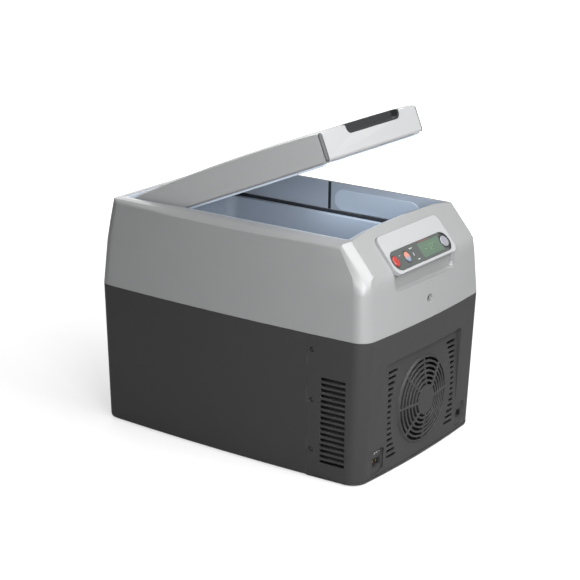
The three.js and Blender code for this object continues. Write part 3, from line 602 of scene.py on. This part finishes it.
def dressed_copy(
    node: str,
    body: Body,
    finish: Finish,
    crease_deg: float = 32.0,
    edge: float = 0.0,
) -> bpy.types.Object:
    """Makes a merged, smooth-shaded copy that stands for a CAD node.

    Args:
        node: The CAD node.
        body: The body it rides on.
        finish: Its finish.
        crease_deg: Edges sharper than this stay sharp.
        edge: Width of a small round on sharp edges, or 0 for none.

    Returns:
        The finished object.
    """
    work = bmesh.new()
    work.from_mesh(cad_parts[node].data)
    bmesh.ops.remove_doubles(work, verts=work.verts, dist=MERGE_DISTANCE)
    bmesh.ops.dissolve_limit(
        work, angle_limit=FLAT_ANGLE, verts=work.verts, edges=work.edges,
        use_dissolve_boundaries=False, delimit=set(),
    )
    if edge:
        sharp = [
            e for e in work.edges
            if len(e.link_faces) == 2 and e.calc_face_angle(0.0) > math.radians(crease_deg)
        ]
        bmesh.ops.bevel(
            work, geom=sharp, offset=edge, offset_type="OFFSET", affect="EDGES",
            segments=2, profile=0.5, material=-1, clamp_overlap=True,
        )
    piece = finish_piece(
        f"{node}_skin", work, body, finish, node, crease_deg=crease_deg, recalculate=False
    )
    return weighted(piece)


def dress_node(node: str, finish: Finish) -> None:
    """Gives a CAD node that stays as it is its finish.

    Args:
        node: The CAD node.
        finish: Its finish.
    """
    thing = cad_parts[node]
    material = finish.material()
    if not thing.material_slots:
        thing.data.materials.append(material)
    for place in thing.material_slots:
        place.material = material
    LOG.info("%s wears %s", node, finish.name)


@dataclass(frozen=True)
class SlopeFrame:
    """The sloped face that carries the controls: across y, up s, out w, in metres."""

    foot_x: float = 219.5 * MM
    foot_z: float = 272.0 * MM
    run: float = 39.5
    rise: float = 46.0

    def matrix(self, y: float = 0.0, s: float = 0.0, w: float = 0.0) -> Matrix:
        """Places a shape drawn in X across, Y up the slope and Z outwards.

        Args:
            y: Distance across the slope.
            s: Distance up the slope from its foot.
            w: Height over the slope.

        Returns:
            The matrix from the drawing to the object's frame.
        """
        length = math.hypot(self.run, self.rise)
        up = Vector((-self.run / length, 0.0, self.rise / length))
        out = Vector((self.rise / length, 0.0, self.run / length))
        across = Vector((0.0, 1.0, 0.0))
        origin = Vector((self.foot_x, 0.0, self.foot_z)) + across * y + up * s + out * w
        turn = Matrix((across, up, out)).transposed().to_4x4()
        return Matrix.Translation(origin) @ turn


SLOPE = SlopeFrame()


def rounded_plate(
    work: bmesh.types.BMesh, width: float, height: float, depth: float, radius: float,
    place: Matrix,
) -> None:
    """Adds a plate with rounded upright corners, its back at the drawing's origin.

    Args:
        work: The bmesh that gets the plate.
        width: Size along the drawing's X.
        height: Size along its Y.
        depth: Size along its Z.
        radius: Corner radius.
        place: Where the drawing goes.
    """
    made = bmesh.ops.create_cube(work, size=1.0)["verts"]
    bmesh.ops.scale(work, vec=(width, height, depth), verts=made)
    bmesh.ops.translate(work, vec=(0.0, 0.0, depth / 2), verts=made)
    edges = {
        e for v in made for e in v.link_edges
        if abs((e.verts[0].co - e.verts[1].co).z) > depth * 0.5
    }
    result = bmesh.ops.bevel(
        work, geom=list(edges), offset=radius, offset_type="OFFSET", affect="EDGES",
        segments=6, profile=0.5, material=-1, clamp_overlap=True,
    )
    touched = {v for f in result["faces"] for v in f.verts} | {v for v in made if v.is_valid}
    bmesh.ops.transform(work, matrix=place, verts=list(touched))


def arc_band(
    work: bmesh.types.BMesh, inner: float, outer: float, depth: float, start_deg: float,
    sweep_deg: float, place: Matrix, steps: int = 36,
) -> None:
    """Adds a flat band bent round an arc, spun from its cross-section.

    Args:
        work: The bmesh that gets the band.
        inner: Inner radius.
        outer: Outer radius.
        depth: Height of the band.
        start_deg: Where the arc starts, from the drawing's X.
        sweep_deg: How far it goes round.
        place: Where the drawing goes.
        steps: Faces along the arc.
    """
    full = abs(sweep_deg) >= 360.0
    section = bmesh.ops.create_grid(work, x_segments=1, y_segments=1, size=0.5)["verts"]
    bmesh.ops.scale(work, vec=(outer - inner, depth, 1.0), verts=section)
    bmesh.ops.translate(work, vec=((inner + outer) / 2, depth / 2, 0.0), verts=section)
    bmesh.ops.rotate(work, matrix=Matrix.Rotation(math.radians(90), 3, "X"), verts=section)
    bmesh.ops.rotate(
        work, matrix=Matrix.Rotation(math.radians(start_deg), 3, "Z"), verts=section
    )
    faces = list({f for v in section for f in v.link_faces})
    geometry = section + list({e for v in section for e in v.link_edges}) + faces
    before = set(work.verts) - set(section)
    if full:
        rim = [g for g in geometry if not isinstance(g, bmesh.types.BMFace)]
        bmesh.ops.delete(work, geom=faces, context="FACES_ONLY")
        bmesh.ops.spin(
            work, geom=rim, cent=(0, 0, 0), axis=(0, 0, 1), angle=math.radians(360.0),
            steps=steps, use_merge=True, use_duplicate=False,
        )
    else:
        bmesh.ops.spin(
            work, geom=geometry, cent=(0, 0, 0), axis=(0, 0, 1),
            angle=math.radians(sweep_deg), steps=steps, use_duplicate=False,
        )
    bmesh.ops.transform(work, matrix=place, verts=[v for v in work.verts if v not in before])


# ------------------------------------------------------------------ sub-assemblies
@dataclass
class OuterCase:
    """The graphite lower case, its technical cover, the silver upper shell and feet."""

    screw_count: int = 6
    foot_count: int = 4

    def build(self) -> None:
        """Dresses every outer piece of the case."""
        dressed_copy("lower_case", Body.CASE, GRAPHITE)
        dressed_copy("technical_cover", Body.CASE, GRAPHITE, crease_deg=28.0)
        dressed_copy("base_plate", Body.CASE, GRAPHITE)
        dressed_copy("upper_shell", Body.CASE, SILVER, crease_deg=24.0)
        dressed_copy("shell_screw", Body.CASE, SCREW)
        for number in range(1, self.screw_count + 1):
            dressed_copy(f"cover_screw_{number}", Body.CASE, SCREW)
        for number in range(1, self.foot_count + 1):
            dressed_copy(f"foot_{number}", Body.CASE, RUBBER)


@dataclass
class Interior:
    """The liner, ledge seal, lamp and the hidden insulation."""

    lamp_watts: float = 0.09
    lamp_size: tuple[float, float] = (120.0 * MM, 20.0 * MM)

    def build(self) -> None:
        """Dresses the inside and hangs its lamp."""
        dressed_copy("inner_liner", Body.CASE, LINER, crease_deg=36.0)
        dressed_copy("ledge_seal", Body.CASE, RUBBER)
        dressed_copy("lamp_lens", Body.CASE, LENS, edge=0.35 * MM)
        dressed_copy("inner_fan_cover", Body.CASE, LINER)
        dressed_copy("inner_fan_frame", Body.CASE, BLACK)
        dressed_copy("inner_fan_rotor", Body.INNER_FAN, BLACK)
        for node, finish in (
            ("lamp_board", BOARD),
            ("case_foam", FOAM),
            ("cold_heatsink", ALUMINIUM),
            ("cold_block", ALUMINIUM),
            ("peltier_module", CERAMIC),
        ):
            dress_node(node, finish)
        self.hang_lamp()

    def hang_lamp(self) -> None:
        """Adds the light that the lamp lens throws into the cabin."""
        low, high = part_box("lamp_lens")
        light = bpy.data.lights.new("cabin_lamp", "AREA")
        light.shape = "RECTANGLE"
        light.size, light.size_y = self.lamp_size
        light.energy = self.lamp_watts
        light.color = (0.8, 0.9, 1.0)
        holder = bpy.data.objects.new("cabin_lamp", light)
        holder.location = ((low.x + high.x) / 2 - 30 * MM, low.y - 30 * MM, high.z)
        holder.rotation_euler = (math.radians(-40), 0.0, 0.0)
        bpy.context.scene.collection.objects.link(holder)


@dataclass
class TechnicalSpace:
    """The outer fan, hot heatsink, boards, sockets, screens and socket sign."""

    screen_x: float = 173.0 * MM
    screen_y: float = 139.0 * MM
    screen_z: float = 80.0 * MM
    sign_x: float = 212.0 * MM

    def build(self) -> None:
        """Dresses what shows through the vents and the sockets."""
        dressed_copy("outer_fan_frame", Body.CASE, BLACK)
        dressed_copy("outer_fan_rotor", Body.OUTER_FAN, BLACK, crease_deg=40.0)
        dressed_copy("dc_socket", Body.CASE, BLACK)
        dressed_copy("ac_socket", Body.CASE, BLACK)
        for node, finish in (
            ("hot_heatsink", ALUMINIUM),
            ("power_board", BOARD),
            ("control_board", BOARD),
            ("dc_pin_1", BRASS),
            ("dc_pin_2", BRASS),
            ("ac_pin_1", BRASS),
            ("ac_pin_2", BRASS),
        ):
            dress_node(node, finish)
        self.vent_screens()
        self.socket_marks()

    def vent_screens(self) -> None:
        """Hangs a dark dust screen behind each side's vents."""
        for name, side in (("dust_screen_near", -1.0), ("dust_screen_far", 1.0)):
            work = bmesh.new()
            turn = Matrix.Rotation(math.radians(90), 4, "X")
            place = Matrix.Translation((self.screen_x, side * self.screen_y, self.screen_z)) @ turn
            rounded_plate(work, 50 * MM, 132 * MM, 0.6 * MM, 3 * MM, place)
            finish_piece(name, work, Body.CASE, BLACK)

    def socket_marks(self) -> None:
        """Adds a plain battery sign over the low-voltage socket."""
        low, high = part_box("dc_socket")
        turn = Matrix(((0, 0, 1), (1, 0, 0), (0, 1, 0))).to_4x4()
        work = bmesh.new()
        centre = (low.y + high.y) / 2
        for y, z, width, height in (
            (-4.5, 13.5, 3.2, 0.6),
            (-4.5, 11.9, 3.2, 0.6),
            (1.0, 12.7, 4.4, 0.6),
            (1.0, 12.7, 0.6, 2.6),
            (6.6, 12.7, 3.0, 0.6),
        ):
            place = Matrix.Translation(
                (self.sign_x, centre + y * MM, (low.z + high.z) / 2 + z * MM)
            ) @ turn
            rounded_plate(work, width * MM, height * MM, 0.12 * MM, 0.15 * MM, place)
        finish_piece("dc_sign", work, Body.CASE, MARK)


@dataclass
class ControlPanel:
    """The pod on the slope, its window, display, keys and printed marks."""

    window_y: tuple[float, float] = (-78.0 * MM, 62.0 * MM)
    window_s: tuple[float, float] = (1.5 * MM, 29.0 * MM)
    window_w: float = 3.4 * MM
    display_y: tuple[float, float] = (-9.0 * MM, 42.0 * MM)
    display_s: tuple[float, float] = (5.0 * MM, 26.0 * MM)
    digit_height: float = 9.0 * MM
    digit_width: float = 5.2 * MM
    stroke: float = 0.95 * MM
    key_s: float = 15.3 * MM

    field_lift: float = 0.03 * MM
    reading_lift: float = 0.13 * MM
    legend_lift: float = 0.02 * MM
    reading_s: float = 15.5 * MM
    key_squeeze: float = 0.76

    SEGMENTS: ClassVar[dict[str, str]] = {"1": "bc", "2": "abged", "-": "g"}

    def build(self) -> None:
        """Builds and dresses the whole panel."""
        dressed_copy("control_pod", Body.CASE, POD, crease_deg=40.0)
        dressed_copy("display_window", Body.CASE, SMOKE)
        dressed_copy("power_button", Body.POWER, RED_KEY, crease_deg=45.0, edge=0.5 * MM)
        dressed_copy("mode_button", Body.MODE, MODE_KEY, crease_deg=45.0, edge=0.5 * MM)
        dressed_copy("set_button", Body.SET, SET_KEY, crease_deg=45.0, edge=0.5 * MM)
        self.display()
        self.digits()
        self.key_rings_and_end_shade()
        self.marks()

    def display(self) -> None:
        """Adds the lit green field, which lies just proud of the window's face."""
        work = bmesh.new()
        y0, y1 = self.display_y
        s0, s1 = self.display_s
        place = SLOPE.matrix((y0 + y1) / 2, (s0 + s1) / 2, self.window_w + self.field_lift)
        rounded_plate(work, y1 - y0, s1 - s0, 0.1 * MM, 1.6 * MM, place)
        finish_piece("display_field", work, Body.CASE, DISPLAY, "digit_display")

    def digits(self) -> None:
        """Adds a seven-segment reading and a small degree ring."""
        work = bmesh.new()
        for text, y in (("-", 4.0), ("1", 11.0), ("2", 18.5)):
            for segment in self.SEGMENTS[text]:
                self.segment(work, segment, y * MM)
        ring = SLOPE.matrix(25.2 * MM, 19.1 * MM, self.window_w + self.reading_lift)
        arc_band(work, 0.7 * MM, 1.3 * MM, 0.08 * MM, 0.0, 360.0, ring, steps=18)
        finish_piece("display_reading", work, Body.CASE, SEGMENT)

    def segment(self, work: bmesh.types.BMesh, letter: str, y: float) -> None:
        """Adds one bar of a seven-segment digit.

        Args:
            work: The bmesh that gets the bar.
            letter: The bar, a to g.
            y: The digit's middle across the slope.
        """
        half_w, half_h = self.digit_width / 2, self.digit_height / 2
        across = {"a": half_h, "g": 0.0, "d": -half_h}
        upright = {
            "f": (-half_w, half_h / 2), "b": (half_w, half_h / 2),
            "e": (-half_w, -half_h / 2), "c": (half_w, -half_h / 2),
        }
        depth = self.window_w + self.reading_lift
        if letter in across:
            place = SLOPE.matrix(y, self.reading_s + across[letter], depth)
            size = (self.digit_width - self.stroke, self.stroke)
        else:
            dy, ds = upright[letter]
            place = SLOPE.matrix(y + dy, self.reading_s + ds, depth)
            size = (self.stroke, half_h - self.stroke * 0.6)
        rounded_plate(work, *size, 0.08 * MM, self.stroke * 0.35, place)

    def key_rings_and_end_shade(self) -> None:
        """Adds painted shade, a dark half ring, at the window's right end, and dark rings round
        the keys.
        """
        work = bmesh.new()
        y1 = self.window_y[1]
        s_mid = sum(self.window_s) / 2
        radius = (self.window_s[1] - self.window_s[0]) / 2
        # A dark half ring on the window's face paints the shade in the recessed window's right
        # end.
        end = SLOPE.matrix(y1 - radius, s_mid, self.window_w - 0.1 * MM)
        arc_band(work, radius - 2.6 * MM, radius - 0.2 * MM, 0.5 * MM, -78.0, 168.0, end)
        finish_piece("window_end_painted_shade", work, Body.CASE, DARK_RING)
        for name, y, inner, outer in (
            ("set_surround", 50.0, 8.25, 9.7),
            ("power_surround", -69.0, 7.8, 8.6),
            ("mode_surround", -42.0, 7.6, 8.6),
        ):
            ring = bmesh.new()
            place = SLOPE.matrix(y * MM, self.key_s, self.window_w - 0.1 * MM)
            if name != "set_surround":
                place = place @ Matrix.Diagonal((self.key_squeeze, 1.0, 1.0, 1.0))
            arc_band(ring, inner * MM, outer * MM, 0.4 * MM, 0.0, 360.0, place, steps=40)
            finish_piece(name, ring, Body.CASE, DARK_RING)

    def marks(self) -> None:
        """Adds plain printed marks: dashes over the display and signs beside the keys."""
        height = self.window_w + self.legend_lift
        red = bmesh.new()
        for index in range(9):
            place = SLOPE.matrix((-3.0 + 3.1 * index) * MM, 27.4 * MM, height)
            rounded_plate(red, (2.2 if index % 3 else 1.4) * MM, 0.8 * MM, 0.06 * MM,
                          0.2 * MM, place)
        finish_piece("red_legend", red, Body.CASE, RED_MARK)
        white = bmesh.new()
        for y, s, width, tall in (
            (-26.0, 23.9, 7.0, 1.0),
            (-21.0, 6.8, 5.0, 1.0),
            (-26.0, 15.4, 1.2, 5.0),
            (-55.5, 20.4, 3.4, 0.7),
        ):
            rounded_plate(white, width * MM, tall * MM, 0.06 * MM, 0.25 * MM,
                          SLOPE.matrix(y * MM, s * MM, height))
        finish_piece("white_legend", white, Body.CASE, MARK)


@dataclass
class Lid:
    """The inset lid with its grip, dark corner strips that paint the shade on its rounded corners,
    gasket, plug and hinge pins.
    """

    def build(self) -> None:
        """Dresses the lid."""
        dressed_copy("lid_shell", Body.LID, PALE, crease_deg=28.0)
        # The corner strips carry painted shade for the lid's rounded corners.
        dressed_copy("corner_strip_near", Body.LID, CORNER_SHADE, crease_deg=28.0)
        dressed_copy("corner_strip_far", Body.LID, CORNER_SHADE, crease_deg=28.0)
        dressed_copy("grip_insert", Body.LID, GRIP)
        dressed_copy("lid_liner", Body.LID, PLUG)
        dressed_copy("lid_gasket", Body.LID, GREY_SEAL)
        dress_node("lid_foam", FOAM)
        for side in ("near", "far"):
            dressed_copy(f"hinge_pin_{side}", Body.CASE, STEEL)


# ------------------------------------------------------------------ studio
@dataclass
class Studio:
    """Pale floor, soft lights and the camera."""

    lens_mm: float = 107.44
    azimuth_deg: float = 35.084
    elevation_deg: float = 17.53
    roll_deg: float = 0.654
    distance: float = 2.378484
    target: tuple[float, float, float] = (0.00105, 0.0, 0.190646)
    floor_radius: float = 9.0

    def build(self) -> None:
        """Sets up everything round the object."""
        self.colours()
        self.floor()
        self.world()
        self.lights()
        self.camera()

    def colours(self) -> None:
        """Shows colours plainly, without a film look."""
        bpy.context.scene.view_settings.view_transform = "Standard"

    def floor(self) -> None:
        """Adds the pale floor, which brightens outwards so that its edge is lost."""
        work = bmesh.new()
        bmesh.ops.create_circle(work, cap_ends=True, segments=96, radius=self.floor_radius)
        mesh = bpy.data.meshes.new("studio_floor")
        work.to_mesh(mesh)
        work.free()
        plane = bpy.data.objects.new("studio_floor", mesh)
        plane.location.z = -0.0002
        material = bpy.data.materials.new("studio_floor")
        material.use_nodes = True
        tree = material.node_tree
        tree.nodes.clear()
        matte = add_node(tree, "ShaderNodeBsdfDiffuse")
        matte.inputs["Color"].default_value = (0.38, 0.38, 0.382, 1.0)
        lit = add_node(tree, "ShaderNodeEmission")
        lit.inputs["Color"].default_value = (1.0, 1.0, 1.0, 1.0)
        path = add_node(tree, "ShaderNodeLightPath")
        place = add_node(tree, "ShaderNodeTexCoord")
        away = add_node(tree, "ShaderNodeVectorMath", operation="LENGTH")
        tree.links.new(place.outputs["Object"], away.inputs[0])
        seen = smooth_range(tree, away.outputs["Value"], 0.5, 1.4, 0.56, 0.95)
        strength = math_node(tree, "MULTIPLY", path.outputs["Is Camera Ray"], seen)
        strength = math_node(tree, "ADD", strength, 0.08)
        tree.links.new(strength, lit.inputs["Strength"])
        both = add_node(tree, "ShaderNodeAddShader")
        output = add_node(tree, "ShaderNodeOutputMaterial")
        tree.links.new(matte.outputs[0], both.inputs[0])
        tree.links.new(lit.outputs[0], both.inputs[1])
        tree.links.new(both.outputs[0], output.inputs["Surface"])
        mesh.materials.append(material)
        bpy.context.scene.collection.objects.link(plane)

    def world(self) -> None:
        """Makes a white backdrop that lights the object softly."""
        world = bpy.data.worlds.new("studio_world")
        bpy.context.scene.world = world
        world.use_nodes = True
        tree = world.node_tree
        tree.nodes.clear()
        path = add_node(tree, "ShaderNodeLightPath")
        strength = smooth_range(tree, path.outputs["Is Camera Ray"], 0.0, 1.0, 0.12, 1.05)
        back = add_node(tree, "ShaderNodeBackground")
        back.inputs["Color"].default_value = (1.0, 1.0, 1.0, 1.0)
        output = add_node(tree, "ShaderNodeOutputWorld")
        tree.links.new(strength, back.inputs["Strength"])
        tree.links.new(back.outputs[0], output.inputs["Surface"])

    def lights(self) -> None:
        """Hangs the soft boxes."""
        for name, place, size, watts in (
            ("key_right", (2.2, 0.2, 1.9), (1.2, 1.2), 30.0),
            ("top_soft", (1.0, 0.1, 2.5), (1.8, 1.8), 58.0),
            ("side_fill", (1.0, -0.95, 0.75), (0.5, 0.6), 15.0),
            ("rear_soft", (-2.0, 1.7, 1.5), (1.5, 1.5), 26.0),
        ):
            light = bpy.data.lights.new(name, "AREA")
            light.shape = "RECTANGLE"
            light.size, light.size_y = size
            light.energy = watts
            holder = bpy.data.objects.new(name, light)
            holder.location = place
            aim = Vector((0.0, 0.0, 0.18)) - Vector(place)
            holder.rotation_euler = aim.to_track_quat("-Z", "Y").to_euler()
            bpy.context.scene.collection.objects.link(holder)

    def camera(self) -> None:
        """Places the camera."""
        data = bpy.data.cameras.new("studio_camera")
        data.lens = self.lens_mm
        data.sensor_width = 36.0
        data.clip_end = 50.0
        azimuth, elevation = math.radians(self.azimuth_deg), math.radians(self.elevation_deg)
        roll = math.radians(self.roll_deg)
        back = Vector((
            math.sin(azimuth) * math.cos(elevation),
            -math.cos(azimuth) * math.cos(elevation),
            math.sin(elevation),
        ))
        level = Vector((math.cos(azimuth), math.sin(azimuth), 0.0))
        upright = back.cross(level)
        right = level * math.cos(roll) + upright * math.sin(roll)
        up = upright * math.cos(roll) - level * math.sin(roll)
        turn = Matrix((right, up, back)).transposed().to_4x4()
        camera = bpy.data.objects.new("studio_camera", data)
        camera.matrix_world = Matrix.Translation(
            Vector(self.target) + back * self.distance
        ) @ turn
        bpy.context.scene.collection.objects.link(camera)
        bpy.context.scene.camera = camera


def main() -> None:
    """Builds the looks in order."""
    logging.basicConfig(level=logging.INFO, format="%(name)s: %(message)s")
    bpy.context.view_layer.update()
    Studio().build()
    OuterCase().build()
    Interior().build()
    TechnicalSpace().build()
    ControlPanel().build()
    Lid().build()
    bpy.context.view_layer.update()


if __name__ == "__main__":
    main()
